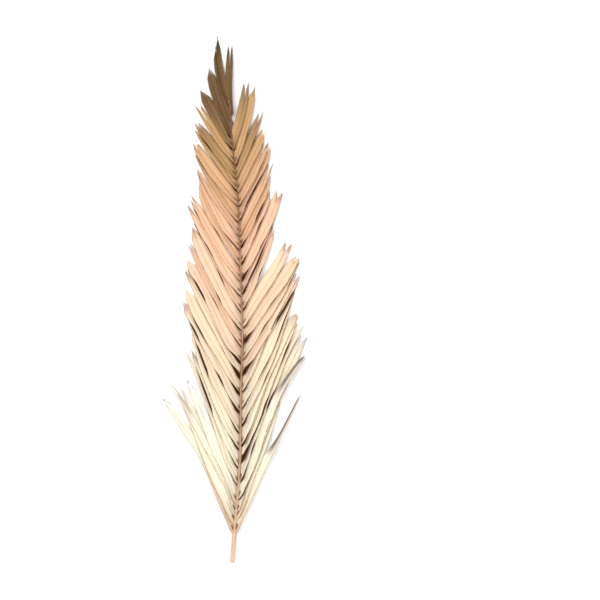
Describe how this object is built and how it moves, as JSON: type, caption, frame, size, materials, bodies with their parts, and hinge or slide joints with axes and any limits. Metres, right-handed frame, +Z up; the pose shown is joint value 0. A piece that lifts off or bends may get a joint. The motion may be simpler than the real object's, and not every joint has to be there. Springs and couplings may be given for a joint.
{
  "type": "dried date palm frond",
  "caption": "Long feather-shaped dried palm frond lying flat, with stiff pointed leaflets fanning from a slim tapering stalk that ends in a short bare cut stem.",
  "frame": {"origin": "on the flat spot under the stalk that the frond rests on, 434 mm from the stalk's cut end", "axes": "+Y runs along the frond to its tip, +Z points up out of its upper side, and +X to its right, seen from above with the tip ahead"},
  "size_m": [0.2904, 1.055, 0.0193],
  "materials": {
    "dried_leaf": "matte"
  },
  "bodies": {
    "root": {"frond": "dried_leaf"}
  },
  "joints": []
}
